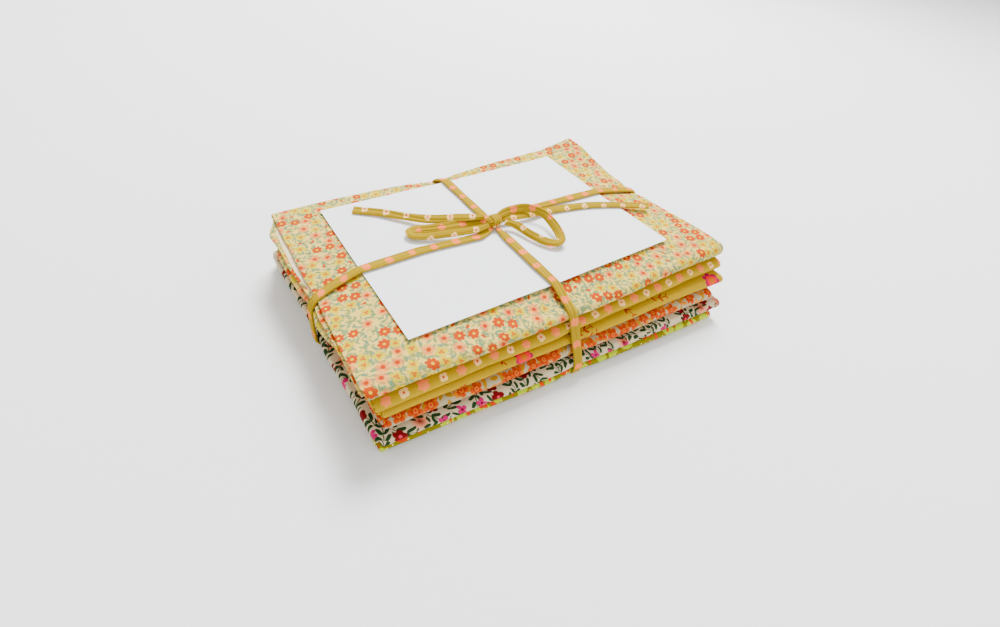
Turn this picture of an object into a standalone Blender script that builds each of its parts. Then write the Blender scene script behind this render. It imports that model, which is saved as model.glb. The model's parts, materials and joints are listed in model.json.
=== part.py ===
# Bundle of six folded cotton coupons with a blank card on top, tied crosswise with a flat cloth
# tie that ends in a bow. Sizes are in millimetres and become metres as each mesh is made.
# X runs along the folded front edges, which face -Y. The floor is at z = 0.

import math
from collections import namedtuple

import bmesh
import bpy
from mathutils import Vector

MM = 0.001
PIECE_GAP = 0.35  # air between two coupons
BASE_CENTRE = (1.0, -5.6)  # middle of the bundle's footprint, which becomes the origin

# The card, and the plane that its top face lies in
CARD_SIZE = (210.0, 148.0)
CARD_MIDDLE = (-1.1, 7.6)
CARD_THICKNESS = 0.8
CARD_HEIGHT = 49.9
CARD_RISE_X = 0.022
CARD_RISE_Y = -0.032

# How the tie draws the stack in, and how its loose corner stands up
FRONT_DIP = 5.5
FRONT_DIP_HALF_WIDTH = 85.0
FRONT_SLOPE = (62.0, 80.0)  # distance from the middle where the dip starts and is full
BACK_DIP = 5.0
BACK_DIP_HALF_WIDTH = 42.0
BACK_SLOPE = (60.0, 82.0)
LEFT_DIP = 4.0
RIGHT_DIP = 3.0
END_DIP_HALF_WIDTH = 38.0
LEFT_DIP_Y = -4.0
RIGHT_DIP_Y = 6.0
CORNER_FLARE = 7.1
CORNER_SLOPE = (35.0, 90.0)
FRONT_CORNER_RISE = 1.9
FRONT_CORNER_SLOPE = (30.0, 80.0)
END_DROP = 0.03  # fall of the top towards both ends, past the outer stations

# Where the cloth is measured: stations along X and rows along Y that all coupons share
EDGE_STATION = 108.0
END_REACH = 33.0  # from an outer station to the cloth's end
MIDDLE_ROW = 4.0
STATIONS = (-EDGE_STATION, -62.0, -7.5, 1.5, 56.0, EDGE_STATION)
ROWS = (BACK_SLOPE[1], BACK_SLOPE[0], 32.0, MIDDLE_ROW, -25.0, -FRONT_SLOPE[0], -FRONT_SLOPE[1])

# One row for each coupon, from the top of the stack down. Ends and edges are places in plan at
# the measuring lines; the fan is how far inner layers stand out.
MEASURE_X = 135.0
MEASURE_Y = 90.0
Coupon = namedtuple(
    "Coupon",
    "name layers share front_left front_right back_left back_right"
    " left_front left_back right_front right_back fan_front fan_back fan_right colour",
)
COUPONS = (
    Coupon("coupon_1_cream", 5, 0.206, -88.6, -91.0, 97.5, 99.5,
           -140.5, -137.0, 143.0, 143.0, 2.5, 5.0, 2.0, (0.80, 0.72, 0.55)),
    Coupon("coupon_2_mustard", 5, 0.165, -91.5, -95.4, 95.0, 94.0,
           -136.5, -137.0, 143.0, 141.0, 1.0, 1.0, 1.5, (0.72, 0.52, 0.02)),
    Coupon("coupon_3_yellow", 5, 0.158, -91.3, -102.5, 92.0, 95.0,
           -132.5, -135.0, 141.5, 140.0, 1.0, 1.5, 1.5, (0.68, 0.50, 0.02)),
    Coupon("coupon_4_orange", 5, 0.158, -93.7, -107.3, 96.0, 91.0,
           -133.5, -136.0, 129.0, 133.0, 1.5, 1.5, 1.0, (0.78, 0.45, 0.22)),
    Coupon("coupon_5_vine", 5, 0.165, -99.0, -112.0, 93.0, 88.0,
           -139.3, -143.0, 137.0, 138.0, 1.5, 2.0, 1.5, (0.68, 0.62, 0.58)),
    Coupon("coupon_6_olive", 3, 0.148, -97.0, -113.3, 92.0, 90.0,
           -138.5, -142.5, 131.0, 134.0, 1.0, 1.5, 1.0, (0.55, 0.55, 0.03)),
)
FAN_PROFILE = (0.0, 1.0, 0.75, 1.0, 0.55)  # top layer to bottom layer, as shares of the fan
LAYER_PITCH_SHARE = {3: (0.25, 0.125), 5: (0.15, 0.0625)}  # sheet and gap, as shares of height
OUTER_BEND_STEPS = 7
INNER_BEND_STEPS = 4
INNER_BEND_SETBACK = 1.2  # from the inside of the outer bend to the bend that it wraps
RAW_EDGE = 0.8  # how far the bottom layer's cut edge shows past the folds at the back

# The tie
TIE_COLOUR = (0.72, 0.52, 0.03)
TIE_WIDTH = 6.8
TIE_THICKNESS = 2.2
TIE_FLAT = 0.6  # thickness where the bundle's weight presses it
TIE_CLEARANCE = 0.45
TIE_FLOOR_GAP = 0.1
BAND_X = -2.5  # the short band's place
CROSSING_Y = 2.0  # the long band's place under the middle of the bundle
CROSSING_SLOPE = 0.041
CHANNEL_DEPTH = 1.0  # room for one pressed band under the bottom coupon
CROSSING_DEPTH = 1.9  # room where the bands cross
CHANNEL_HALF = 4.5
CHANNEL_RAMP = 4.0
UNDERSIDE = 3.0  # a band that runs lower than this is under the bundle
BAND_END_X = 142.0  # where the long band's line over the top meets its line underneath
BAND_STOP_SPACING = 22.0
BAND_CORNER_SPACING = 1.6
MARK_ROOM = 3.0  # other stops keep this far from a marked one
KNOT_MARGIN = 0.9
KNOT_PLACE = (-2.1, 8.2)
KNOT_HALF = (5.6, 6.4, 4.6)

RoutePoint = namedtuple("RoutePoint", "x y lift")
LONG_BAND_LEFT = (
    RoutePoint(-127.0, 0.5, 0.0), RoutePoint(-108.0, 3.0, 0.0), RoutePoint(-64.0, 4.0, 0.0),
    RoutePoint(-42.0, 2.2, 0.0), RoutePoint(-19.0, 0.0, 0.0), RoutePoint(-9.0, 3.0, 0.0),
)
LONG_BAND_RIGHT = (
    RoutePoint(5.0, 12.4, 0.0), RoutePoint(16.0, 15.2, 0.0), RoutePoint(36.0, 14.8, 0.0),
    RoutePoint(65.0, 13.9, 0.0), RoutePoint(107.0, 11.8, 0.0), RoutePoint(128.0, 9.4, 0.0),
)
TAIL_LEFT = (
    RoutePoint(-8.5, 11.6, 7.6), RoutePoint(-24.0, 20.1, 6.8), RoutePoint(-42.9, 30.5, 5.0),
    RoutePoint(-56.5, 43.4, 3.6), RoutePoint(-69.7, 57.6, 2.6), RoutePoint(-85.5, 70.2, 1.9),
)
TAIL_RIGHT = (
    RoutePoint(5.0, 8.0, 4.2), RoutePoint(14.0, 6.6, 4.4), RoutePoint(28.6, 5.3, 3.6),
    RoutePoint(43.3, 5.0, 2.4), RoutePoint(57.1, 3.3, 1.9), RoutePoint(82.4, -3.2, 1.8),
    RoutePoint(105.1, -14.2, 1.9), RoutePoint(125.2, -26.0, 2.0),
)
LOOP_LEFT = (
    RoutePoint(-8.6, 9.5, 4.4), RoutePoint(-17.2, 15.0, 4.0), RoutePoint(-32.7, 19.1, 3.4),
    RoutePoint(-46.7, 23.6, 3.0), RoutePoint(-57.0, 27.2, 2.8), RoutePoint(-63.2, 25.8, 2.8),
    RoutePoint(-62.4, 20.4, 2.8), RoutePoint(-51.7, 13.6, 3.2), RoutePoint(-36.3, 7.5, 4.4),
    RoutePoint(-20.0, 3.2, 5.0), RoutePoint(-9.3, 5.0, 4.8),
)
LOOP_RIGHT = (
    RoutePoint(4.6, 11.0, 7.8), RoutePoint(14.9, 10.4, 8.6), RoutePoint(26.6, 7.0, 8.8),
    RoutePoint(33.6, -4.7, 8.0), RoutePoint(32.0, -22.7, 6.2), RoutePoint(27.5, -34.0, 4.2),
    RoutePoint(19.5, -31.5, 3.2), RoutePoint(13.2, -17.9, 3.6), RoutePoint(9.6, -4.0, 4.6),
    RoutePoint(4.0, 2.6, 5.0),
)
FreeStrap = namedtuple("FreeStrap", "name route width thickness spacing")
FREE_STRAPS = (
    FreeStrap("tie_tail_left", TAIL_LEFT, 6.4, 2.2, 8.0),
    FreeStrap("tie_tail_right", TAIL_RIGHT, 6.4, 2.2, 8.0),
    FreeStrap("tie_loop_left", LOOP_LEFT, 4.6, 2.4, 4.0),
    FreeStrap("tie_loop_right", LOOP_RIGHT, 5.2, 2.2, 4.0),
)


def ease(value, start, end):
    share = min(max((value - start) / (end - start), 0.0), 1.0)
    return share * share * (3 - 2 * share)


def bell(distance, half_width):
    return math.exp(-((distance / half_width) ** 2))


def between(value, start, end, at_start, at_end):
    return at_start + (at_end - at_start) * (value - start) / (end - start)


def card_plane(x, y):
    return CARD_HEIGHT + CARD_RISE_X * x + CARD_RISE_Y * y


def past(value, edge):
    """How far a place lies past an edge, in millimetres, and 0 before it."""
    return max(0.0, value - edge)


def dip_at_station(x, y):
    front = FRONT_DIP * bell(x - BAND_X, FRONT_DIP_HALF_WIDTH) * ease(-y, *FRONT_SLOPE)
    back = BACK_DIP * bell(x - BAND_X, BACK_DIP_HALF_WIDTH) * ease(y, *BACK_SLOPE)
    return front + back


def top_height(x, y):
    """Height of the stack's top before the loose corner: straight between neighbouring stations."""
    inner = min(max(x, STATIONS[0]), STATIONS[-1])
    right = next(i for i, station in enumerate(STATIONS) if inner <= station)
    left = max(right - 1, 0)
    if left == right:
        dip = dip_at_station(inner, y)
    else:
        ends = (dip_at_station(STATIONS[left], y), dip_at_station(STATIONS[right], y))
        dip = between(inner, STATIONS[left], STATIONS[right], *ends)
    left_end = past(-x, EDGE_STATION) / END_REACH
    right_end = past(x, EDGE_STATION) / END_REACH
    dip += LEFT_DIP * bell(y - LEFT_DIP_Y, END_DIP_HALF_WIDTH) * left_end
    dip += RIGHT_DIP * bell(y - RIGHT_DIP_Y, END_DIP_HALF_WIDTH) * right_end
    dip += END_DROP * past(abs(x), EDGE_STATION)
    return card_plane(x, y) - CARD_THICKNESS - PIECE_GAP - dip


def corner_flare(x, y):
    rise = CORNER_FLARE * ease(y, *CORNER_SLOPE) + FRONT_CORNER_RISE * ease(-y, *FRONT_CORNER_SLOPE)
    return rise * past(x, EDGE_STATION) / END_REACH


def channel_y(x):
    return CROSSING_Y + CROSSING_SLOPE * x


def channel_share(distance):
    return ease(CHANNEL_HALF + CHANNEL_RAMP - abs(distance), 0.0, CHANNEL_RAMP)


def channel_depth(x, y):
    across = channel_share(x - BAND_X)
    along = channel_share(y - channel_y(x))
    crossing = (CROSSING_DEPTH - CHANNEL_DEPTH) * min(across, along)
    return CHANNEL_DEPTH * max(across, along) + crossing


class FoldedCoupon:
    """One coupon: a sheet that runs back and forth in the Y-Z plane, drawn out along X."""

    def __init__(self, index):
        self.row = COUPONS[index]
        self.index = index
        self.share_above = sum(row.share for row in COUPONS[:index])
        self.share_below = self.share_above + self.row.share
        self.height = self.row.share * (CARD_HEIGHT - 1.0)
        self.sheet, self.gap = LAYER_PITCH_SHARE[self.row.layers]
        self.is_bottom = index == len(COUPONS) - 1

    def front(self, x):
        return between(x, -MEASURE_X, MEASURE_X, self.row.front_left, self.row.front_right)

    def back(self, x):
        return between(x, -MEASURE_X, MEASURE_X, self.row.back_left, self.row.back_right)

    def end_x(self, side, y, layer):
        """Where a layer ends on the left (-1) or on the right (+1)."""
        row = self.row
        low = min(int(layer), row.layers - 2)
        fans = FAN_PROFILE[: row.layers - 1] + (FAN_PROFILE[-1],)
        fan = between(layer, low, low + 1, fans[low], fans[low + 1])
        along = (y, -MEASURE_Y, MEASURE_Y)
        if side > 0:
            return between(*along, row.right_front, row.right_back) + fan * row.fan_right
        edge = between(*along, row.left_front, row.left_back)
        return edge - fan * between(*along, row.fan_front, row.fan_back)

    def z_range(self, x, y):
        stack = top_height(x, y)
        top = stack * (1 - self.share_above)
        top += corner_flare(x, y) if self.index == 0 else -PIECE_GAP / 2
        if self.is_bottom:
            return channel_depth(x, y), top
        return stack * (1 - self.share_below) + PIECE_GAP / 2, top

    def level(self, layer):
        return 1 - self.sheet / 2 - layer * (self.sheet + self.gap)

    def stations(self):
        if not self.is_bottom:
            return STATIONS
        ramps = (BAND_X - CHANNEL_HALF - CHANNEL_RAMP, BAND_X + CHANNEL_HALF + CHANNEL_RAMP)
        return tuple(sorted(STATIONS + ramps))

    def rows(self):
        """Places along Y as functions of x, from the back to the front."""
        flat = [lambda x, y=y: y for y in ROWS if not (self.is_bottom and y == MIDDLE_ROW)]
        if not self.is_bottom:
            return flat
        edge = CHANNEL_HALF + CHANNEL_RAMP
        offsets = (edge, CHANNEL_HALF, -CHANNEL_HALF, -edge)
        ramps = [lambda x, step=step: channel_y(x) + step for step in offsets]
        return flat[:3] + ramps + flat[3:]

    def path(self):
        """Section points as (place along Y as a function of x, height share, layer) pairs."""
        last = self.row.layers - 1
        half = self.sheet / 2
        left, right = [], []

        def straight(layer, to_front, start, end):
            places = [start] + (self.rows() if to_front else self.rows()[::-1]) + [end]
            down = -1 if to_front else 1
            for place in places:
                left.append((place, self.level(layer) + down * half, layer))
                right.append((place, self.level(layer) - down * half, layer))

        def bend(middle, level, radius, turn, steps, first, second):
            outer_is_left = turn[1] < turn[0]
            for step in range(1, steps):
                share = step / steps
                angle = math.radians(between(share, 0, 1, *turn))
                layer = between(share, 0, 1, first, second)
                for side, outwards in ((left, outer_is_left), (right, not outer_is_left)):
                    reach = radius + (half if outwards else -half)
                    along = reach * self.height * math.cos(angle)
                    side.append((
                        lambda x, along=along: middle(x) + along,
                        level + reach * math.sin(angle),
                        layer,
                    ))

        outer_radius = (self.level(0) - self.level(last)) / 2
        inner_radius = (self.sheet + self.gap) / 2
        outer_reach = (outer_radius + half) * self.height
        inner_reach = (inner_radius + half) * self.height
        setback = self.sheet * self.height + INNER_BEND_SETBACK + inner_reach

        def outer_middle(x):
            return self.front(x) + outer_reach

        def inner_middle(x):
            return self.front(x) + setback

        def back_middle(x):
            return self.back(x) - inner_reach

        straight(last, True, lambda x: self.back(x) + RAW_EDGE, outer_middle)
        bend(outer_middle, 0.5, outer_radius, (-90, -270), OUTER_BEND_STEPS, last, 0)
        straight(0, False, outer_middle, back_middle)
        for layer in range(1, last):
            to_front = layer % 2 == 1
            level = (self.level(layer - 1) + self.level(layer)) / 2
            if to_front:
                bend(back_middle, level, inner_radius, (90, -90), INNER_BEND_STEPS,
                     layer - 1, layer)
                end = outer_middle if layer == last - 1 else inner_middle
                straight(layer, True, back_middle, end)
            else:
                bend(inner_middle, level, inner_radius, (90, 270), INNER_BEND_STEPS,
                     layer - 1, layer)
                straight(layer, False, inner_middle, back_middle)
        return left, right

    def point(self, station, place, level, layer):
        if station in (-1, 1):
            x = self.end_x(station, place(station * EDGE_STATION), layer)
        else:
            x = station
        y = place(x)
        low, high = self.z_range(x, y)
        return Vector((x, y, low + level * (high - low)))

    def build(self):
        sides = self.path()
        stations = (-1,) + self.stations() + (1,)
        mesh = bmesh.new()
        grid = [
            [[mesh.verts.new(self.point(station, *spot)) for spot in side] for side in sides]
            for station in stations
        ]
        count = len(sides[0])

        def quad(a, b, c, d):
            """Two triangles, split from low x and y to high x and y, so neighbours match."""
            if (a.co.y - b.co.y) * (a.co.x - d.co.x) > 0:
                mesh.faces.new((a, b, c))
                mesh.faces.new((a, c, d))
            else:
                mesh.faces.new((a, b, d))
                mesh.faces.new((b, c, d))

        for here, there in zip(grid, grid[1:]):
            for i in range(count - 1):
                quad(here[0][i], here[0][i + 1], there[0][i + 1], there[0][i])
                quad(here[1][i + 1], here[1][i], there[1][i], there[1][i + 1])
            quad(here[1][0], here[0][0], there[0][0], there[1][0])
            quad(here[0][-1], here[1][-1], there[1][-1], there[0][-1])
        for i in range(count - 1):
            first, last = grid[0], grid[-1]
            quad(first[0][i + 1], first[0][i], first[1][i], first[1][i + 1])
            quad(last[0][i], last[0][i + 1], last[1][i + 1], last[1][i])
        bmesh.ops.recalc_face_normals(mesh, faces=mesh.faces)
        return add_object(self.row.name, mesh, self.row.colour, 0.9)


def add_object(name, mesh, colour, roughness):
    """Turns a bmesh in millimetres into an object in metres with its own material."""
    shift = Vector((BASE_CENTRE[0], BASE_CENTRE[1], 0.0))
    for vertex in mesh.verts:
        vertex.co = (vertex.co - shift) * MM
    data = bpy.data.meshes.new(name)
    mesh.to_mesh(data)
    mesh.free()
    thing = bpy.data.objects.new(name, data)
    finish(thing, name, colour, roughness)
    return thing


def finish(thing, name, colour, roughness):
    material = bpy.data.materials.new(name)
    material.use_nodes = True
    shader = material.node_tree.nodes["Principled BSDF"]
    shader.inputs["Base Color"].default_value = (*colour, 1.0)
    shader.inputs["Roughness"].default_value = roughness
    shader.inputs["Metallic"].default_value = 0.0
    thing.data.materials.append(material)
    bpy.context.scene.collection.objects.link(thing)


def build_card():
    mesh = bmesh.new()
    bmesh.ops.create_cube(mesh, size=1.0)
    for vertex in mesh.verts:
        x = CARD_MIDDLE[0] + vertex.co.x * CARD_SIZE[0]
        y = CARD_MIDDLE[1] + vertex.co.y * CARD_SIZE[1]
        z = card_plane(x, y) - (CARD_THICKNESS if vertex.co.z < 0 else 0.0)
        vertex.co = (x, y, z)
    add_object("label_card", mesh, (0.86, 0.87, 0.88), 0.6)


def convex_loop(points):
    """The convex outline of flat points, counterclockwise: the way of a taut band around them."""
    points = sorted(set(points))

    def half(run):
        line = []
        for p in run:
            while len(line) > 1 and turn(line[-2], line[-1], p) <= 0:
                line.pop()
            line.append(p)
        return line[:-1]

    def turn(a, b, c):
        return (b[0] - a[0]) * (c[1] - a[1]) - (b[1] - a[1]) * (c[0] - a[0])

    return half(points) + half(points[::-1])


def marks_on(a, b, top_marks, under_marks):
    """The marks that belong to a run of the outline: over the top, under the bundle, or none."""
    if max(a[1], b[1]) < UNDERSIDE:
        return under_marks
    if min(a[1], b[1]) > CARD_HEIGHT / 2 and abs(b[0] - a[0]) > abs(b[1] - a[1]):
        return top_marks
    return ()


def resample(loop, top_marks, under_marks):
    """The closed outline with evenly spaced points, and with points at the marks."""
    found = []
    for a, b in zip(loop, loop[1:] + loop[:1]):
        steps = max(1, round(math.dist(a, b) / BAND_STOP_SPACING))
        run = b[0] - a[0]
        shares = {i / steps for i in range(steps)}
        for mark in marks_on(a, b, top_marks, under_marks):
            at_mark = (mark - a[0]) / run
            shares = {share for share in shares if abs((share - at_mark) * run) > MARK_ROOM}
            if 0 < at_mark < 1:
                shares.add(at_mark)
        found += [(a[0] + share * run, a[1] + share * (b[1] - a[1])) for share in sorted(shares)]
    return found


def thin_out(loop, spacing):
    kept = [loop[0]]
    for p in loop[1:]:
        if math.dist(kept[-1], p) >= spacing:
            kept.append(p)
    return kept


def wrap(outline, top_marks, under_marks):
    """Centre points, outward directions and thicknesses of a band drawn tight around an outline."""
    loop = resample(thin_out(outline, BAND_CORNER_SPACING), top_marks, under_marks)
    stops = []
    for i, p in enumerate(loop):
        before, after = loop[i - 1], loop[(i + 1) % len(loop)]
        out = Vector((after[1] - before[1], before[0] - after[0])).normalized()
        pressed = ease(-out.y, 0.1, 0.9)
        thickness = between(pressed, 0, 1, TIE_THICKNESS, TIE_FLAT)
        clear = between(pressed, 0, 1, TIE_CLEARANCE, CHANNEL_DEPTH - TIE_FLOOR_GAP - TIE_FLAT)
        centre = Vector(p) + out * (clear + thickness / 2)
        stops.append((centre, out, thickness))
    return stops


def sweep(name, stops, width):
    """A flat closed strap. A stop holds its centre, outward and crosswise directions, thickness."""
    rim = ((1.0, 0.0), (0.72, 0.86), (0.0, 1.0), (-0.72, 0.86),
           (-1.0, 0.0), (-0.72, -0.86), (0.0, -1.0), (0.72, -0.86))
    mesh = bmesh.new()
    rings = []
    for centre, out, across, thickness in stops:
        rings.append([
            mesh.verts.new(centre + across * (a * width / 2) + out * (b * thickness / 2))
            for a, b in rim
        ])
    for here, there in zip(rings, rings[1:]):
        for i in range(len(rim)):
            j = (i + 1) % len(rim)
            mesh.faces.new((here[i], here[j], there[j], there[i]))
    mesh.faces.new(rings[0][::-1])
    mesh.faces.new(rings[-1])
    bmesh.ops.recalc_face_normals(mesh, faces=mesh.faces)
    add_object(name, mesh, TIE_COLOUR, 0.8)


def route_y(x):
    """The long band's line across the top, from its left end to its right end."""
    ends = [RoutePoint(x, channel_y(x), 0.0) for x in (-BAND_END_X, BAND_END_X)]
    stops = [ends[0], *LONG_BAND_LEFT, *LONG_BAND_RIGHT, ends[1]]
    for a, b in zip(stops, stops[1:]):
        if a.x <= x <= b.x:
            return between(x, a.x, b.x, a.y, b.y)
    return channel_y(x)


def coupon_outline_yz(coupon, x):
    low, high = coupon.z_range(x, coupon.front(x))
    middle = (low + high) / 2
    radius = (high - low) / 2
    reach = coupon.height / 2
    front = [
        (coupon.front(x) + reach - reach * math.cos(math.radians(a)),
         middle + radius * math.sin(math.radians(a)))
        for a in range(-90, 91, 15)
    ]
    low, high = coupon.z_range(x, coupon.back(x))
    back = coupon.back(x) + RAW_EDGE
    return front + [(back, low), (back, high)]


def coupon_outline_xz(coupon):
    found = []
    for side in (-1, 1):
        y = channel_y(side * BAND_END_X)
        for layer in range(coupon.row.layers):
            x = coupon.end_x(side, y, layer)
            low, high = coupon.z_range(x, y)
            for offset in (-coupon.sheet / 2, coupon.sheet / 2):
                level = coupon.level(layer) + offset
                found.append((x, low + level * (high - low)))
    return found


def knot_gap(point):
    """How far outside the knot a point lies, as a ratio of the knot's own reach."""
    x, y = KNOT_PLACE
    centre = Vector((x, y, card_plane(x, y) + KNOT_HALF[2]))
    offset = point - centre
    return math.hypot(offset.x / KNOT_HALF[0], offset.y / KNOT_HALF[1])


def open_at_knot(stops):
    """Starts a closed row of stops at the knot and leaves out those inside it."""
    outside = [stop[0].z < CARD_HEIGHT / 2 or knot_gap(stop[0]) > 1.0 for stop in stops]
    start = next(i for i, out in enumerate(outside) if out and not outside[i - 1])
    turned = stops[start:] + stops[:start]
    flags = outside[start:] + outside[:start]
    return [stop for stop, out in zip(turned, flags) if out]


def build_short_band(coupons):
    half_card = CARD_SIZE[1] / 2
    outline = [
        (CARD_MIDDLE[1] + side * half_card, card_plane(BAND_X, CARD_MIDDLE[1] + side * half_card))
        for side in (-1, 1)
    ]
    for coupon in coupons:
        outline += coupon_outline_yz(coupon, BAND_X)
    stops = []
    steps = (CHANNEL_HALF, CHANNEL_HALF + CHANNEL_RAMP)
    under = [channel_y(BAND_X) + side * step for side in (-1, 1) for step in steps]
    knot_side = KNOT_HALF[1] + KNOT_MARGIN
    over = [KNOT_PLACE[1] + step for step in (-knot_side, 0.0, knot_side)]
    for centre, out, thickness in wrap(convex_loop(outline), over, under):
        y, z = centre
        if z < UNDERSIDE:
            z += (CROSSING_DEPTH - CHANNEL_DEPTH) * channel_share(y - channel_y(BAND_X))
        stops.append((Vector((BAND_X, y, z)), Vector((0, out.x, out.y)), Vector((1, 0, 0)),
                      thickness))
    sweep("tie_band_short", open_at_knot(stops), TIE_WIDTH)


def build_long_band(coupons):
    outline = []
    for side in (-1, 1):
        x = CARD_MIDDLE[0] + side * CARD_SIZE[0] / 2
        outline.append((x, card_plane(x, channel_y(x))))
    for coupon in coupons:
        outline += coupon_outline_xz(coupon)
    stops = []
    over = [stop.x for stop in (*LONG_BAND_LEFT, *LONG_BAND_RIGHT)] + [KNOT_PLACE[0]]
    for centre, out, thickness in wrap(convex_loop(outline), over, ()):
        x, z = centre
        y = route_y(x) if out.y > 0.5 else channel_y(x)
        if out.y > 0.5:
            z += card_plane(x, y) - card_plane(x, channel_y(x))
        stops.append((Vector((x, y, z)), Vector((out.x, 0, out.y)), Vector((0, 1, 0)), thickness))
    sweep("tie_band_long", open_at_knot(stops), TIE_WIDTH)


def build_knot():
    mesh = bmesh.new()
    bmesh.ops.create_uvsphere(mesh, u_segments=14, v_segments=9, radius=1.0)
    x, y = KNOT_PLACE
    base = card_plane(x, y) + 0.3
    for vertex in mesh.verts:
        twist = math.atan2(vertex.co.y, vertex.co.x)
        swell = 1 + 0.06 * math.sin(3 * twist + 2.5 * vertex.co.z)
        vertex.co = (
            x + vertex.co.x * KNOT_HALF[0] * swell,
            y + vertex.co.y * KNOT_HALF[1] * swell,
            base + (vertex.co.z + 1) * KNOT_HALF[2],
        )
    add_object("tie_knot", mesh, TIE_COLOUR, 0.8)


def smooth_route(stops, spacing):
    """Points on a smooth curve through a route's own points, above the card's plane."""
    places = [Vector((p.x, p.y, card_plane(p.x, p.y) + p.lift)) for p in stops]
    padded = [2 * places[0] - places[1]] + places + [2 * places[-1] - places[-2]]
    found = []
    for a, b, c, d in zip(padded, padded[1:], padded[2:], padded[3:]):
        steps = max(1, round((c - b).length / spacing))
        for i in range(steps):
            t = i / steps
            found.append(0.5 * (2 * b + (c - a) * t + (2 * a - 5 * b + 4 * c - d) * t * t
                                + (3 * b - a - 3 * c + d) * t ** 3))
    return found + [places[-1]]


def build_free_strap(strap):
    """A loop or a tail: a curve whose flat section stays level with the card."""
    curve = bpy.data.curves.new(strap.name, "CURVE")
    curve.dimensions = "3D"
    curve.twist_mode = "Z_UP"
    curve.bevel_depth = strap.thickness / 2 * MM
    curve.bevel_resolution = 2
    curve.extrude = (strap.width - strap.thickness) / 2 * MM
    curve.use_fill_caps = True
    spline = curve.splines.new("POLY")
    points = smooth_route(strap.route, strap.spacing)
    spline.points.add(len(points) - 1)
    shift = Vector((BASE_CENTRE[0], BASE_CENTRE[1], 0.0))
    for target, place in zip(spline.points, points):
        target.co = (*((place - shift) * MM), 1.0)
        target.tilt = math.pi / 2
    thing = bpy.data.objects.new(strap.name, curve)
    finish(thing, strap.name, TIE_COLOUR, 0.8)


def main():
    for thing in list(bpy.data.objects):
        bpy.data.objects.remove(thing, do_unlink=True)
    coupons = [FoldedCoupon(index) for index in range(len(COUPONS))]
    for coupon in coupons:
        coupon.build()
    build_card()
    build_short_band(coupons)
    build_long_band(coupons)
    build_knot()
    for strap in FREE_STRAPS:
        build_free_strap(strap)


main()
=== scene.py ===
import json
import math
import random
from itertools import accumulate

import bpy
import numpy as np
from mathutils import Matrix, Vector

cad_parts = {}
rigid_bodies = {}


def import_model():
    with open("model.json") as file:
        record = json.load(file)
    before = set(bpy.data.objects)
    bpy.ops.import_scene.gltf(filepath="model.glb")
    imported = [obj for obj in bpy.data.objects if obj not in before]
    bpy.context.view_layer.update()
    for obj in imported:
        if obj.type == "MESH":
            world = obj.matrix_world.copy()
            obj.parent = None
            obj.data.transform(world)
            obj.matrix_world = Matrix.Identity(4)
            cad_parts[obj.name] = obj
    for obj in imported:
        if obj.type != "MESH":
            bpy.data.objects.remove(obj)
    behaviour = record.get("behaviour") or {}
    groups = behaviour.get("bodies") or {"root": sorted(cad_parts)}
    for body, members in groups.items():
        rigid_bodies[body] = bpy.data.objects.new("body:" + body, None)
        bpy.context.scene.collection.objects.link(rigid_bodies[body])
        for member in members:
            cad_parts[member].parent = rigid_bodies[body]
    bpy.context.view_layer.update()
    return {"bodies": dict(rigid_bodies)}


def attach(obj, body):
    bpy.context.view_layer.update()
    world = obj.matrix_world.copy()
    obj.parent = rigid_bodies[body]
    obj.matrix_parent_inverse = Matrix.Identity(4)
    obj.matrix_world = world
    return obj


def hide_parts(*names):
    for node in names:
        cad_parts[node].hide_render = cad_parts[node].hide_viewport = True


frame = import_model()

bodyName = list(frame["bodies"])[0]
print("frame loaded, body", bodyName)

# The stack as it was measured: x along the folded fronts, y to the back, with the middle of the
# measured frame a little beside the middle of the footprint. All sizes are in metres.
stack = {
    "middle": (0.001, -0.0056),
    "height": 0.0489,
    "cardHeight": 0.0499, "cardRiseX": 0.022, "cardRiseY": -0.032, "cardRoom": 0.0008,
    "pieceGap": 0.00035,
    "bandX": -0.0025,
    "edgeStation": 0.108, "endReach": 0.033, "endDrop": 0.03, "endDipWidth": 0.038,
    "frontDip": 0.0055, "frontDipWidth": 0.085, "frontSlope": (0.058, 0.084),
    "backDip": 0.0050, "backDipWidth": 0.042, "backSlope": (0.056, 0.086),
    "leftDip": 0.0040, "leftDipY": -0.004, "rightDip": 0.0030, "rightDipY": 0.006,
    "cornerFlare": 0.0071, "cornerSlope": (0.035, 0.090),
    "frontCornerRise": 0.0019, "frontCornerSlope": (0.030, 0.080),
    "crossingY": 0.002, "crossingSlope": 0.041,
    "channelDepth": 0.0010, "crossingDepth": 0.0019, "channelHalf": 0.0045, "channelRamp": 0.004,
}

# Camera at the photograph's viewing angle
camera = {
    "place": (-0.1832, -0.2295, 0.2537),
    "forward": (0.456, 0.5564, -0.6946),
    "right": (0.8326, -0.5425, 0.112),
    "up": (0.3145, 0.6294, 0.7106),
    "lens": 17.46,
}


def addCamera():
    bpy.ops.object.camera_add()
    thing = bpy.context.active_object
    thing.name = "photoCamera"
    columns = (camera["right"], camera["up"], [-v for v in camera["forward"]])
    turn = Matrix(columns).transposed().to_4x4()
    thing.matrix_world = Matrix.Translation(camera["place"]) @ turn
    thing.data.sensor_width = 36
    thing.data.lens = camera["lens"]
    thing.data.clip_start = 0.01
    bpy.context.scene.camera = thing


addCamera()


# Small helpers for shapes

def ease(value, start, end):
    share = np.clip((value - start) / (end - start), 0.0, 1.0)
    return share * share * (3 - 2 * share)


def bell(distance, halfWidth):
    return np.exp(-((distance / halfWidth) ** 2))


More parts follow.
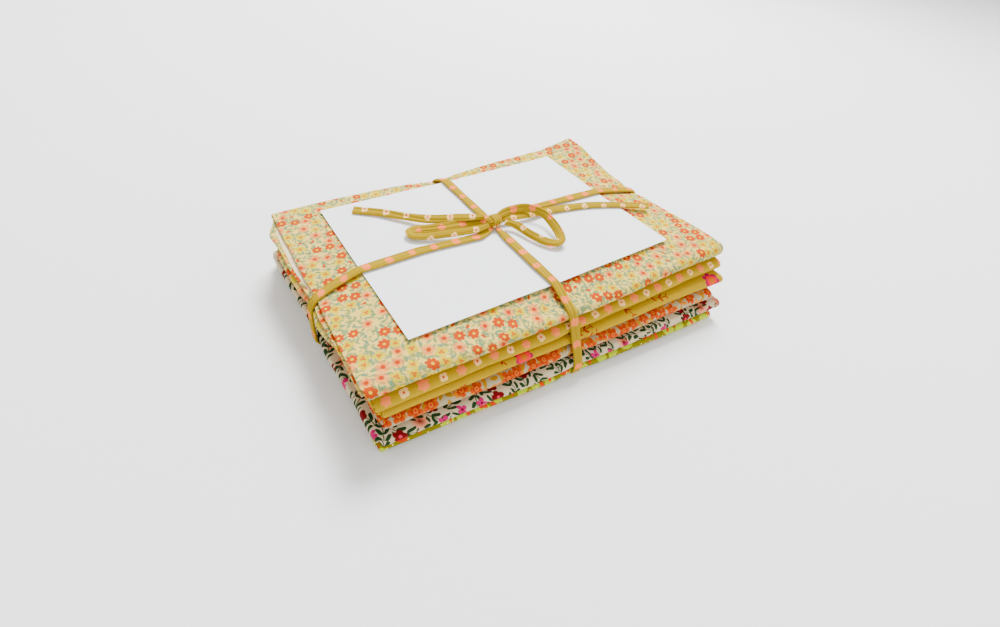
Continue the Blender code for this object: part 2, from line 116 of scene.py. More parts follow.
def wobble(along, wave, seed):
    # an uneven line between about -1 and 1, the same each time for a seed
    dice = random.Random(seed)
    total = 0.0
    for share in (1.0, 0.61, 0.37, 0.21):
        turn = dice.uniform(0, 2 * math.pi)
        stretch = dice.uniform(0.85, 1.15)
        total = total + share * np.sin(2 * math.pi * along / (wave * share * stretch) + turn)
    return total / 1.6


def deselect():
    if bpy.context.mode != "OBJECT":
        bpy.ops.object.mode_set(mode="OBJECT")
    bpy.ops.object.select_all(action="DESELECT")


def chooseOnly(thing):
    deselect()
    thing.select_set(True)
    bpy.context.view_layer.objects.active = thing


def editAll(thing):
    chooseOnly(thing)
    bpy.ops.object.mode_set(mode="EDIT")
    bpy.ops.mesh.select_all(action="SELECT")


def solidify(thing, **settings):
    chooseOnly(thing)
    modifier = thing.modifiers.new("wall", "SOLIDIFY")
    for name, value in settings.items():
        setattr(modifier, name, value)
    bpy.ops.object.modifier_apply(modifier=modifier.name)


def smoothUpTo(thing, degrees):
    chooseOnly(thing)
    bpy.ops.object.shade_smooth_by_angle(angle=math.radians(degrees))


def giveToPart(thing, node):
    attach(thing, bodyName)
    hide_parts(node)


def toRow(x, y, z):
    return x - stack["middle"][0], y - stack["middle"][1], z


def cardPlane(x, y):
    return stack["cardHeight"] + stack["cardRiseX"] * x + stack["cardRiseY"] * y


def endShare(x):
    return np.maximum(0.0, x - stack["edgeStation"]) / stack["endReach"]


def stackTop(x, y):
    # top of the pressed stack, without the loose corner of the top coupon
    band = np.abs(x - stack["bandX"])
    dip = 0.0
    for side, sign in (("front", -1), ("back", 1)):
        press = stack[side + "Dip"] * np.exp(-((band / stack[side + "DipWidth"]) ** 1.6))
        dip = dip + press * ease(sign * y, *stack[side + "Slope"])
    for side, sign in (("left", -1), ("right", 1)):
        press = stack[side + "Dip"] * bell(y - stack[side + "DipY"], stack["endDipWidth"])
        dip = dip + press * endShare(sign * x)
    dip = dip + stack["endDrop"] * (endShare(x) + endShare(-x)) * stack["endReach"]
    return cardPlane(x, y) - stack["cardRoom"] - stack["pieceGap"] - dip


def cornerRise(x, y):
    rise = stack["cornerFlare"] * ease(y, *stack["cornerSlope"])
    rise = rise + stack["frontCornerRise"] * ease(-y, *stack["frontCornerSlope"])
    return rise * endShare(x)


def channelY(x):
    return stack["crossingY"] + stack["crossingSlope"] * x


def channelShare(distance):
    edge = stack["channelHalf"] + stack["channelRamp"]
    return ease(edge - np.abs(distance), 0.0, stack["channelRamp"])


def channelDepth(x, y):
    # the troughs under the stack that the two runs of the tie lie in
    across = channelShare(x - stack["bandX"])
    along = channelShare(y - channelY(x))
    deeper = stack["crossingDepth"] - stack["channelDepth"]
    return stack["channelDepth"] * np.maximum(across, along) + deeper * np.minimum(across, along)


# The six coupons, from the top down. Each is one cut length of cotton, folded back and forth
# first along x and then along y. Front and back are the edges' y at 135 mm left and right of the
# middle, left and right their x at 90 mm before and behind it. Rows of leftOut say how far each of
# the five layers stands out at the stations, places along y; one number holds for all of them.
coupons = [
    {"name": "coupon_1_cream", "share": 0.206, "seed": 11,
     "front": (-0.0886, -0.0910), "back": (0.0975, 0.0995),
     "left": (-0.1405, -0.1370), "right": (0.1430, 0.1430),
     "stations": (-0.090, -0.046, -0.032, -0.014, -0.004, 0.004, 0.018, 0.038, 0.057, 0.066,
                  0.076, 0.084, 0.095),
     "leftOut": (
         0,
         (0.0012, 0.0020, 0.0024, 0.0027, 0.0026, 0.0026, 0.0035, 0.0050, 0.0056, 0.0070, 0.0078,
          0.0036, 0.0006),
         (-0.003, -0.003, -0.003, -0.003, -0.0028, -0.0026, -0.001, 0.001, 0.002, 0.001, 0,
          -0.001, -0.003),
         (0.0006, 0.0006, 0.0026, 0.0036, 0.0030, 0.0034, 0.0048, 0.0062, 0.0069, 0.003, -0.001,
          -0.003, -0.003),
         -0.003),
     "rightOut": 0.0020,
     "rawBack": (0.006, 0.006, 0.006, 0.0055, 0.0028, 0.0012, 0.0006, 0.0006, 0.001, 0.003,
                 0.004, 0.004, 0.003),
     "drapes": [{"packet": 0, "turn": 0, "reach": 0.0070, "bulge": 0,
                 "lift": (0, 0.00012, 0.00026, 0.00040, 0.00054),
                 "along": (0.3, 0.6, 0.8, 1, 1, 1, 1, 1, 1, 1, 1, 1, 1)},
                {"packet": 3, "turn": 2, "reach": 0.0085, "bulge": 0.0016,
                 "lift": (-0.004, -0.004, -0.004, 0.0012, 0.0012),
                 "along": (0.3, 0.35, 0.7, 0.7, 0.45, 0.5, 0.85, 1, 1, 0.7, 0.1, 0, 0)}],
     "wrapped": False, "acrossCounts": (60, 30, 26, 26, 30), "acrossBends": (6, 6, 6, 6),
     "alongCounts": (22, 46, 44, 18, 44)},
    {"name": "coupon_2_mustard", "share": 0.165, "seed": 22,
     "front": (-0.0915, -0.0954), "back": (0.0950, 0.0940),
     "left": (-0.1365, -0.1370), "right": (0.1430, 0.1410), "rightOut": 0.0015,
     "leftOut": (0, (0.0016, 0.0005, 0.0005), (0.0008, 0, 0.0005), (0.0012, 0, 0.001),
                 (0.0004, 0, 0))},
    {"name": "coupon_3_yellow", "share": 0.158, "seed": 33,
     "front": (-0.0913, -0.1025), "back": (0.0920, 0.0950),
     "left": (-0.1325, -0.1350), "right": (0.1415, 0.1400), "rightOut": 0.0015,
     "leftOut": (0, (0.0022, 0.0005, 0.001), (0.0030, 0, 0.0005), (0.0012, 0, 0.001),
                 (0.0004, 0, 0))},
    {"name": "coupon_4_orange", "share": 0.158, "seed": 44,
     "front": (-0.0937, -0.1073), "back": (0.0960, 0.0910),
     "left": (-0.1335, -0.1360), "right": (0.1290, 0.1330), "rightOut": 0.0010,
     "leftOut": (0, (0.0012, 0.0005, 0.001), (0.0008, 0, 0.0005), (0.0012, 0, 0.001),
                 (0.0004, 0, 0))},
    {"name": "coupon_5_vine", "share": 0.165, "seed": 55,
     "front": (-0.0990, -0.1120), "back": (0.0930, 0.0880),
     "left": (-0.1396, -0.1434), "right": (0.1370, 0.1380), "rightOut": 0.0015,
     "leftOut": (0, (-0.0022, -0.0026, -0.0026), -0.003, -0.0026, (-0.0024, -0.0026, -0.0026)),
     "drapes": [{"packet": 0, "turn": 0, "reach": 0.0026, "bulge": 0.0012,
                 "lift": (0, 0, 0, 0, -0.0064), "along": 1}]},
    {"name": "coupon_6_olive", "share": 0.148, "seed": 66,
     "front": (-0.0970, -0.1133), "back": (0.0920, 0.0900),
     "left": (-0.1378, -0.1404), "right": (0.1310, 0.1340), "rightOut": 0.0010,
     "leftOut": (0, (0.001, 0.0005, 0.0015), (0.0005, 0, 0.001), (0.001, 0, 0.0015),
                 (0.0004, 0, 0.001))},
]

# What holds for all of them, where a coupon doesn't say otherwise
folding = {
    "flat": (1.48, 1.00),
    "layers": 5,
    "packetShare": 0.17,       # one packet of five thin layers, as a share of the coupon's height
    "gapShare": 0.0375,
    "cloth": 0.00016,
    # how far the two cut ends stay back, and how much further the turns inside the widest do
    "rawAcross": (0.0006, 0.0012), "wrapAcross": 0.0003,
    "rawAlong": (-0.0008, 0.006), "wrapAlong": 0.0012,
    "rawBack": 0,              # the last layer's cut end at the left, at the stations
    "rightProfile": (0.0, 1.0, 0.75, 1.0, 0.55),
    "stations": (-0.090, -0.004, 0.095), "blur": (-0.004, -0.002, 0.0, 0.002, 0.004),
    "measureX": 0.135, "measureY": 0.090, "foldedX": 0.28, "foldedY": 0.19,
    # how far edges and faces wander, in what wave, and what is added to the coupon's seed
    "uneven": {"front": (0.00045, 0.11, 0), "back": (0.0005, 0.13, 1), "side": (0.0006, 0.12, 2),
               "raw": (0.00035, 0.07, 5), "top": (0.0001, 0.075, 7), "cross": (0.00008, 0.06, 8)},
    "pinch": {"front": 0.0010, "back": -0.0014, "left": 0.0015, "right": -0.0012},
    "pinchX": 0.011, "pinchY": 0.010,
    "fan": 0.22, "fanReach": 0.014, "drawIn": 0.13, "drawInReach": 0.016,
    "crowdAcross": 0.62, "crowdAlong": 0.4,
    # wrapped cloth has its first layer underneath; counts and bends are the grid's steps in each
    # layer and each turn
    "wrapped": True, "acrossCounts": (26, 70, 22, 22, 26), "acrossBends": (10, 6, 6, 6),
    "alongCounts": (22, 46, 20, 18, 20), "alongBends": (18, 8, 8, 8),
    "drapes": [],
}

# Creases of the top coupon: soft troughs and ridges that start where the tie pulls the cloth in,
# and a few along the edges. Each row has the place where it starts, the place where it ends, its
# depth and its width.
topCreases = [
    (-0.140, -0.004, -0.108, 0.000, 0.0010, 0.0046),
    (-0.142, 0.006, -0.116, 0.032, -0.0005, 0.0040),
    (-0.142, -0.014, -0.112, -0.040, -0.0005, 0.0045),
    (0.145, 0.006, 0.106, 0.012, 0.0010, 0.0046),
    (0.144, -0.008, 0.116, -0.030, -0.0005, 0.0045),
    (0.144, 0.020, 0.114, 0.044, -0.0006, 0.0050),
    (-0.0025, -0.094, -0.0025, -0.068, 0.0008, 0.0052),
    (0.006, -0.094, 0.030, -0.074, -0.0005, 0.0042),
    (-0.011, -0.094, -0.036, -0.073, -0.0005, 0.0042),
    (-0.0025, 0.100, -0.0025, 0.083, 0.0008, 0.0052),
    (-0.120, -0.078, -0.040, -0.083, 0.0003, 0.0035),
    (0.030, -0.080, 0.120, -0.084, 0.0003, 0.0035),
]


def troughAt(x, y, startX, startY, endX, endY, depth, width):
    dx, dy = endX - startX, endY - startY
    size = math.hypot(dx, dy)
    along = ((x - startX) * dx + (y - startY) * dy) / size
    off = ((x - startX) * dy - (y - startY) * dx) / size
    fade = ease(along, -0.006, 0.002) * (1 - ease(along, 0.35 * size, 1.05 * size))
    return -depth * bell(off, width) * fade


def foldLine(order, spacing, reach, sign, counts, bends, raw, wrapped, crowd):
    # runs back and forth between a high edge (1) and a low edge (0), layer on layer; reach is half
    # a layer's thickness, raw the cut ends' set-back, wrapped the extra one of low turns inside
    # the widest; crowd draws the points towards the ends and the middle, where the tie presses
    gaps = [abs(b - a) for a, b in zip(order, order[1:])]
    backs = [raw[0]]
    for turn, gap in enumerate(gaps):
        inside = gap < max(gaps) and turn % 2 == 0
        backs.append((wrapped if inside else 0.0) + gap / 2 * spacing + reach)
    backs.append(raw[1])
    points = []
    for i, layer in enumerate(order):
        down = i % 2 == 0
        low, high = (backs[i + 1], backs[i]) if down else (backs[i], backs[i + 1])
        for u in np.arange(counts[i] + 1) / counts[i]:
            u -= crowd * math.sin(4 * math.pi * u) / (4 * math.pi)
            share = 1 - u if down else u
            points.append((share, (1 - share) * low - share * high, layer, 0, sign, i))
        if i == len(gaps):
            break
        step = order[i + 1] - layer
        outwards = -1 if down else 1
        for k in range(1, bends[i]):
            turn = math.pi * k / bends[i]
            bulge = math.sin(turn)
            points.append((0 if down else 1,
                           outwards * (gaps[i] / 2 * spacing * bulge - backs[i + 1]),
                           layer + step * (1 - math.cos(turn)) / 2,
                           sign * outwards * math.copysign(bulge, step),
                           sign * math.cos(turn), i + k / bends[i]))
        sign = -sign
    return [np.array(column, dtype=float) for column in zip(*points)]


def layersAt(order, run):
    # the layers that a line comes from and goes to at each of its points
    return [np.array(order)[near(run).astype(int)] for near in (np.floor, np.ceil)]


def arcLengths(position, level, spacing):
    # distance along the line from its start, for the print's coordinates
    steps = np.hypot(np.diff(position.ravel()), np.diff(level.ravel()) * spacing)
    return np.concatenate([[0.0], np.cumsum(steps)])


class Coupon:
    def __init__(self, index):
        vars(self).update({**folding, **coupons[index]})    # its own values before the common ones
        self.index = index
        self.above = sum(row["share"] for row in coupons[:index])
        self.height = self.share * stack["height"]
        self.pitch = self.packetShare * self.height / self.layers

    def stationed(self, y, row):
        # a value given at the coupon's stations, with the turns between them made round
        row = np.broadcast_to(row, len(self.stations))
        near = [np.interp(y + off, self.stations, row) for off in self.blur]
        return sum(near) / len(near)

    def sloped(self, which, place, reach):
        # an edge between the two places where it was measured
        a, b = getattr(self, which)
        return a + (b - a) * (place + reach) / (2 * reach)

    def wander(self, which, along):
        size, wave, more = self.uneven[which]
        return size * wobble(along, wave, self.seed + more)

    def edge(self, which, x):
        # y of the front or back edge, drawn in a little under the tie
        pinch = self.pinch[which] * bell(x - stack["bandX"], self.pinchX)
        return self.sloped(which, x, self.measureX) + pinch + self.wander(which, x)

    def side(self, which, y, layer, beyond, share):
        # x of the left or right edge, where share of the way leads from a layer to one beyond
        if which == "right":
            outs = np.outer(self.rightProfile, np.ones(len(y)) * self.rightOut)
        else:
            outs = -np.array([self.stationed(y, row) for row in self.leftOut])
        spots = np.arange(len(y))
        first = outs[layer, spots]
        out = first + (outs[beyond, spots] - first) * share
        pinch = self.pinch[which] * bell(y - stack[which + "DipY"], self.pinchY)
        line = self.sloped(which, y, self.measureY)
        return line + out + pinch + self.wander("side", y + 0.03 * layer)

    def zRange(self, x, y):
        top = stackTop(x, y)
        gap = stack["pieceGap"] / 2
        high = top * (1 - self.above) + (cornerRise(x, y) if self.index == 0 else -gap)
        if self.index == len(coupons) - 1:
            return channelDepth(x, y), high
        return top * (1 - self.above - self.share) + gap, high

    def relief(self, x, y):
        total = self.wander("top", x + 0.6 * y) + self.wander("cross", y - 0.4 * x)
        for crease in topCreases if self.index == 0 else []:
            total = total + troughAt(x, y, *crease)
        return total

    def fold(self):
        # places and print coordinates of the cloth, as arrays over its width and its length
        wrap = [self.layers - 1, *range(self.layers - 1)]
        order = wrap if self.wrapped else sorted(wrap)
        packetShare = self.packetShare
        packet = packetShare * self.height
        step = packetShare + self.gapShare
        spacing = step * self.height
        across = foldLine(order, self.pitch, self.pitch / 2, -1 if self.wrapped else 1,
                          self.acrossCounts, self.acrossBends, self.rawAcross,
                          self.pitch + self.wrapAcross, self.crowdAcross)
        a, aOffset, aLayer, aAxis, _, aRun = (values[:, None] for values in across)
        b, bOffset, bLayer, bAxis, bUp, bRun = foldLine(
            wrap, spacing, packet / 2, -1, self.alongCounts, self.alongBends,
            self.rawAlong, packet + self.wrapAlong, self.crowdAlong)
        front, back = self.edge("front", 0.0), self.edge("back", 0.0)
        yFlat = (1 - b) * front + b * back + bOffset
        left, right = (self.side(which, yFlat, *layersAt(wrap, bRun), bRun % 1)
                       for which in ("left", "right"))
        x = (1 - a) * left + a * right + aOffset
        x = x + self.wander("raw", yFlat + 0.17 * np.floor(aRun + 0.5)) * (2 * a - 1)
        x = x + self.stationed(yFlat, self.rawBack) * ((1 - a) * (aRun == self.layers - 1))
        # the packet's thin layers lie apart a little more towards their ends
        ends = 1 + self.fan * (1 - ease(np.minimum(x - left, right - x), 0.0, self.fanReach))
        rise = ((self.layers - 1) / 2 - aLayer) * self.pitch * ends
        y = (1 - b) * self.edge("front", x) + b * self.edge("back", x) + bOffset + bAxis * rise
        level = 1 - packetShare / 2 - bLayer * step + bUp * rise / self.height
        for drape in self.drapes:
            # one packet's layers lifted or let down at their left ends
            within = ease(yFlat, front, front + 0.007) * ease(-yFlat, -back, -back + 0.005)
            weight = within * (bRun == wrap.index(drape["packet"]))
            weight = weight * self.stationed(yFlat, drape["along"])
            weight = weight * (1 - ease(x - left, 0.0, drape["reach"]))
            lifts = np.array(drape["lift"])
            start, end = layersAt(order, aRun)
            passed = (aLayer - start) / np.where(end == start, 1, end - start)
            lift = lifts[start] + (lifts[end] - lifts[start]) * passed
            level = level + weight * lift / self.height
            turning = (aRun > drape["turn"]) & (aRun < drape["turn"] + 1)
            x = x - weight * drape["bulge"] * np.abs(aAxis) * turning
        # towards the front the coupon draws in a little, so that the noses stand apart
        drawn = self.drawIn * (1 - ease(y - self.edge("front", x), 0.0, self.drawInReach))
        level = 0.5 + (level - 0.5) * (1 - drawn)
        low, high = self.zRange(x, y)
        z = low + level * (high - low) + self.relief(x, y) * ease(level, 0.0, 0.6)
        width = arcLengths(a * self.foldedX + aOffset, aLayer, self.pitch)
        length = arcLengths(b * self.foldedY + bOffset, bLayer, spacing)
        return x, y, z, width[:, None] + 0 * x, length + 0 * x


def shapeGrid(name, x, y, z, width, length):
    # a flat grid of the cut cloth, then every point moved to where the folding puts it
    deselect()
    rows, columns = x.shape
    bpy.ops.mesh.primitive_grid_add(x_subdivisions=rows - 1, y_subdivisions=columns - 1, size=1)
    thing = bpy.context.active_object
    mesh = thing.data
    thing.name = mesh.name = name
    flat = np.empty(len(mesh.vertices) * 3)
    mesh.vertices.foreach_get("co", flat)
    flat = flat.reshape(-1, 3)
    i = np.rint((flat[:, 0] + 0.5) * (rows - 1)).astype(int)
    j = np.rint((flat[:, 1] + 0.5) * (columns - 1)).astype(int)
    placed = np.stack(toRow(x[i, j], y[i, j], z[i, j]), axis=1)
    mesh.vertices.foreach_set("co", placed.ravel())
    corner = np.empty(len(mesh.loops), dtype=np.int32)
    mesh.loops.foreach_get("vertex_index", corner)
    layer = mesh.uv_layers.active
    layer.name = "cloth"
    cut = np.stack([width[i, j], length[i, j]], axis=1)[corner]
    layer.data.foreach_set("uv", cut.ravel())
    mesh.update()
    return thing


folded = [Coupon(index).fold() for index in range(len(coupons))]
print("coupons worked out:", [places[0].shape for places in folded])


# Materials

class Value:
    # a node's output, so that sums can be written plainly; value["Name"] is the node's other output
    def __init__(self, socket):
        self.socket = socket

    def __getitem__(self, name):
        return Value(self.socket.node.outputs[name])

    def calc(self, operation, *others):
        inputs = dict(enumerate((self, *others)))
        return addNode(self.socket.id_data, "Math", {"operation": operation}, inputs)

    def __add__(self, other):
        return self.calc("ADD", other)

    def __sub__(self, other):
        return self.calc("SUBTRACT", other)

    def __mul__(self, other):
        return self.calc("MULTIPLY", other)

    def __truediv__(self, other):
        return self.calc("DIVIDE", other)

    def __abs__(self):
        return self.calc("ABSOLUTE")

    def scaled(self, factor, more):
        return self.calc("MULTIPLY_ADD", factor, more)

    def hump(self):
        # 1 in the middle and 0 where the value is 1 or -1
        return (self * self).scaled(-1.0, 1.0)

    def inked(self, edge):
        # 1 where the value is above nothing, with a soft edge as printed ink has
        return addNode(self.socket.id_data, "Clamp", {}, {0: (self / edge).scaled(1.0, 0.5)})


def feed(socket, value):
    # value is a node's output, a number or a colour
    if isinstance(value, Value):
        socket.id_data.links.new(value.socket, socket)
    elif socket.type == "RGBA":
        socket.default_value = (*value, 1.0)
    else:
        socket.default_value = value


def addNode(tree, kind, settings, inputs, output=0):
    node = tree.nodes.new("ShaderNode" + kind)
    for name, value in settings.items():
        setattr(node, name, value)
    for name, value in inputs.items():
        feed(node.inputs[name], value)
    return Value(node.outputs[output])


def paint(tree, under, over, mask, blend="MIX"):
    # over is laid on under where the mask is 1
    settings = {"data_type": "RGBA", "blend_type": blend}
    return addNode(tree, "Mix", settings, {0: mask, 6: under, 7: over}, 2)


def colour(red, green, blue):
    # a colour as it is seen, 0 to 255, turned into the shader's linear values
    shares = (value / 255 for value in (red, green, blue))
    return tuple(share / 12.92 if share <= 0.04045 else ((share + 0.055) / 1.055) ** 2.4
                 for share in shares)


def newMaterial(name, settings):
    # a material, its tree and its shader's sockets
    material = bpy.data.materials.new(name)
    material.use_nodes = True
    shader = material.node_tree.nodes["Principled BSDF"].inputs
    for label, value in settings.items():
        feed(shader[label], value)
    return material, material.node_tree, shader


def newGroup(name, inputs, outputs, build):
    # inputs come with their first values, and None for a vector; build works out the outputs
    tree = bpy.data.node_groups.new(name, "ShaderNodeTree")
    for label, value in inputs.items():
        kind = "NodeSocketVector" if value is None else "NodeSocketFloat"
        socket = tree.interface.new_socket(label, in_out="INPUT", socket_type=kind)
        if value is not None:
            socket.default_value = value
    for label in outputs:
        tree.interface.new_socket(label, in_out="OUTPUT", socket_type="NodeSocketFloat")
    source = tree.nodes.new("NodeGroupInput").outputs
    sink = tree.nodes.new("NodeGroupOutput").inputs
    made = build(tree, {label: Value(source[label]) for label in inputs})
    for label, value in zip(outputs, made):
        feed(sink[label], value)
    return tree


def weave(tree, given):
    # height and tone of a plain weave with slightly uneven threads
    parts = addNode(tree, "SeparateXYZ", {}, {0: given["place"]})
    rate = given["threads"] * math.pi
    warp, weft = ((parts[axis] * rate).calc("SINE") for axis in "XY")
    noises = []
    for scale in ((40.0, 700.0, 1.0), (700.0, 40.0, 1.0)):
        drawn = addNode(tree, "Mapping", {}, {"Vector": given["place"], "Scale": scale})
        noises.append(addNode(tree, "TexNoise", {"noise_dimensions": "2D"},
                              {"Vector": drawn, "Scale": 1.0, "Detail": 2.0}))
    slubs = noises[0] + noises[1]
    return slubs.scaled(given["slub"], (warp * weft).scaled(0.5, 0.5)), slubs.scaled(0.14, 0.86)


def flowers(given, across, up, lot):
    distance = (across * across + up * up).calc("SQRT")
    angle = up.calc("ARCTAN2", across) * given["petals"] * 0.5
    wave = abs(angle.calc("COSINE")).calc("POWER", 0.75)
    shape = (wave - 1.0).scaled(given["notch"], 1.0) * lot.scaled(0.22, 0.86)
    return [given["radius"] * shape - distance, given["heart"] - distance]


def leaves(given, across, up, lot):
    return [(across / given["length"]).hump() * given["width"] - abs(up)]


def sprigs(given, across, up, lot):
    # a curved stem with pairs of slanting leaves
    off = abs(up - across * across * given["bend"])
    ends = given["length"] - abs(across)
    pitch = given["leafPitch"]
    place = ((off.scaled(-0.9, across) / pitch).calc("FRACT") - 0.5) * pitch
    half = given["leafLength"] * 0.5
    leaf = ((off - half) / half).hump() * given["leafWidth"] - abs(place)
    stem = (given["stem"] - off).calc("MINIMUM", ends)
    return [stem, leaf.calc("MINIMUM", half.scaled(0.8, ends))]


def scattered(shapes):
    # puts a motif into jittered cells, each turned its own way. Its shapes say how far inside
    # their outlines a point is, and only the cells with a lot between low and high have it.
    def build(tree, given):
        spots = addNode(tree, "VectorMath", {"operation": "SCALE"},
                        {0: given["place"], "Scale": given["perMetre"]})
        moved = addNode(tree, "VectorMath", {"operation": "ADD"}, {0: spots, 1: given["shift"]})
        cells = addNode(tree, "TexVoronoi", {"voronoi_dimensions": "2D", "feature": "F1"},
                        {"Scale": 1.0, "Vector": moved, "Randomness": given["uneven"]})
        offset = addNode(tree, "VectorMath", {"operation": "SUBTRACT"},
                         {0: moved, 1: cells["Position"]})
        lots = addNode(tree, "SeparateColor", {}, {"Color": cells["Color"]})
        turned = addNode(tree, "VectorRotate", {"rotation_type": "Z_AXIS"},
                         {"Vector": offset, "Angle": lots["Green"] * 6.2832})
        parts = addNode(tree, "SeparateXYZ", {}, {0: turned})
        across, up = (parts[axis] / given["perMetre"] for axis in "XY")
        chosen = (lots["Red"].calc("GREATER_THAN", given["low"])
                  * lots["Red"].calc("LESS_THAN", given["high"]))
        return [inside.inked(given["edge"]) * chosen
                for inside in shapes(given, across, up, lots["Blue"])]
    return build


cellInputs = {"place": None, "perMetre": 100.0, "shift": None, "uneven": 0.5, "low": -1.0,
              "high": 2.0, "edge": 0.00016}
groups = {
    "flowers": newGroup(
        "scatteredFlowers",
        {**cellInputs, "radius": 0.003, "petals": 6.0, "notch": 0.3, "heart": 0.001},
        ("bloom", "heart"), scattered(flowers)),
    "leaves": newGroup(
        "scatteredLeaves", {**cellInputs, "length": 0.003, "width": 0.001},
        ("leaf",), scattered(leaves)),
    "sprigs": newGroup(
        "scatteredSprigs",
        {**cellInputs, "length": 0.006, "stem": 0.00015, "bend": 40.0, "leafPitch": 0.003,
         "leafLength": 0.002, "leafWidth": 0.0006},
        ("stem", "leaves"), scattered(sprigs)),
    "weave": newGroup(
        "plainWeave", {"place": None, "threads": 3200.0, "slub": 0.35},
        ("height", "tone"), weave),
}


def motif(group, turn=0.0, **settings):
    # a motif of a print: its group, how far its rows are turned, and the group's own values
    return group, turn, settings


# Each print has its ground, its inks, its motifs, what is printed one over the other, as motif,
# part, ink and strength, and how far the cloth's own colour covers it on the reverse.
creamCells = {"turn": -0.36, "perMetre": 118, "shift": (0.4, 7.3, 0), "uneven": 0.5}
creamLeaves = {"uneven": 0.8, "high": 0.95, "length": 0.0024, "width": 0.0009}
creamPrint = {
    "ground": (224, 192, 94),
    "inks": {"sage": (108, 130, 76), "mist": (98, 132, 98), "orange": (184, 64, 0),
             "heart": (222, 180, 0), "pink": (240, 118, 54), "yellow": (200, 178, 0),
             "speck": (196, 104, 0), "dot": (182, 54, 0)},
    "motifs": {
        "twigs": motif("sprigs", 0.4, perMetre=118, uneven=0.8, length=0.0042, stem=0.0002,
                       bend=60, leafPitch=0.0036, leafLength=0.0030, leafWidth=0.0009),
        "sage": motif("leaves", perMetre=182, shift=(3.3, 1.7, 0), **creamLeaves),
        "mist": motif("leaves", perMetre=202, shift=(7.1, 4.6, 0), **creamLeaves),
        "pink": motif("flowers", low=0.30, high=0.57, radius=0.0038, petals=5, notch=0.12,
                      heart=0.0012, edge=0.0014, **creamCells),
        "yellow": motif("flowers", low=0.57, high=0.84, radius=0.0039, petals=4, notch=0.5,
                        **creamCells),
        "specks": motif("flowers", low=0.57, high=0.84, radius=0.0018, petals=3, notch=0.8,
                        **creamCells),
        "orange": motif("flowers", high=0.30, radius=0.0038, petals=7, notch=0.32, heart=0.0009,
                        **creamCells),
        "bud": motif("leaves", low=0.84, high=0.95, length=0.0020, width=0.0009, **creamCells),
    },
    "strokes": [("twigs", "stem", "sage", 0.45), ("twigs", "leaves", "sage", 0.8),
                ("sage", "leaf", "sage", 0.85), ("mist", "leaf", "mist", 0.85),
                ("pink", "bloom", "pink", 0.6), ("pink", "heart", "dot", 1.6),
                ("yellow", "bloom", "yellow"), ("specks", "bloom", "speck"),
                ("orange", "bloom", "orange"), ("orange", "heart", "heart"),
                ("bud", "leaf", "orange")],
    "reverse": ((244, 226, 190), 0.68),
}


mustardCuts = {
    "coupon": {"ground": (178, 144, 0), "turn": 45, "row": 0.13, "pinkRadius": 0.0028,
               "whiteRadius": 0.0029},
    "tie": {"ground": (163, 133, 0), "turn": 0, "row": 0, "pinkRadius": 0.0023,
            "whiteRadius": 0.0026},
}


def mustardPrint(ground, turn, row, pinkRadius, whiteRadius):
    # two kinds of blossom in turn; cloth that is cut on the bias has their rows turned
    cells = {"turn": math.radians(turn), "perMetre": 1 / 0.0162, "uneven": 0.06, "edge": 0.0002}
    return {
        "ground": ground,
        "inks": {"pink": (246, 128, 64), "white": (250, 200, 120), "dot": (206, 44, 20)},
        "motifs": {
            "pink": motif("flowers", shift=(row, 0, 0), radius=pinkRadius, petals=6,
                          notch=-0.42, **cells),
            "white": motif("flowers", shift=(row + 0.5, 0.5, 0), radius=whiteRadius, petals=4,
                           notch=0.28, heart=0.0007, **cells),
        },
        "strokes": [("pink", "bloom", "pink"), ("white", "bloom", "white"),
                    ("white", "heart", "dot")],
        "reverse": ((214, 178, 62), 0.5),
    }


yellowCells = {"perMetre": 5.6, "shift": (0.94, 0.923, 0), "uneven": 0.03, "edge": 0.00025}
yellowPrint = {
    "ground": (180, 144, 0),
    "inks": {"petal": (172, 5, 70), "ring": (240, 16, 38), "heart": (196, 100, 4),
             "twig": (156, 36, 5)},
    "motifs": {
        "twigs": motif("sprigs", perMetre=30, shift=(4.4, 8.1, 0), uneven=0.8, high=0.5,
                       length=0.009, stem=0.00035, bend=24, leafPitch=0.006, leafLength=0.0034,
                       leafWidth=0.0011),
        "big": motif("flowers", radius=0.0075, petals=7, notch=0.3, heart=0.0048, **yellowCells),
        "core": motif("flowers", radius=0.0026, petals=5, notch=0.2, **yellowCells),
    },
    "strokes": [("twigs", "stem", "twig"), ("twigs", "leaves", "twig"), ("big", "bloom", "petal"),
                ("big", "heart", "ring"), ("core", "bloom", "heart")],
    "reverse": ((216, 182, 58), 0.5),
}

orangeCells = {"perMetre": 98, "shift": (7.7, 3.1, 0), "uneven": 0.45, "high": 0.84, "petals": 5}
orangePrint = {
    "ground": (172, 158, 122),
    "inks": {"orange": (190, 68, 0), "deep": (170, 46, 4), "amber": (206, 116, 4),
             "leaf": (170, 120, 0), "heart": (206, 14, 30)},
    "motifs": {
        "leaves": motif("leaves", perMetre=165, shift=(5, 2, 0), uneven=0.8, high=0.9,
                        length=0.0032, width=0.0014),
        "more": motif("leaves", perMetre=185, shift=(1.2, 6, 0), uneven=0.9, high=0.8,
                      length=0.0030, width=0.0013),
        "outer": motif("flowers", radius=0.0052, notch=0.5, heart=0.0015, **orangeCells),
        "inner": motif("flowers", radius=0.0030, notch=0.6, heart=0.0008, **orangeCells),
    },
    "strokes": [("leaves", "leaf", "leaf"), ("more", "leaf", "amber"),
                ("outer", "bloom", "orange"), ("inner", "bloom", "deep"),
                ("outer", "heart", "amber"), ("inner", "heart", "heart")],
    "reverse": ((236, 204, 160), 0.65),
}

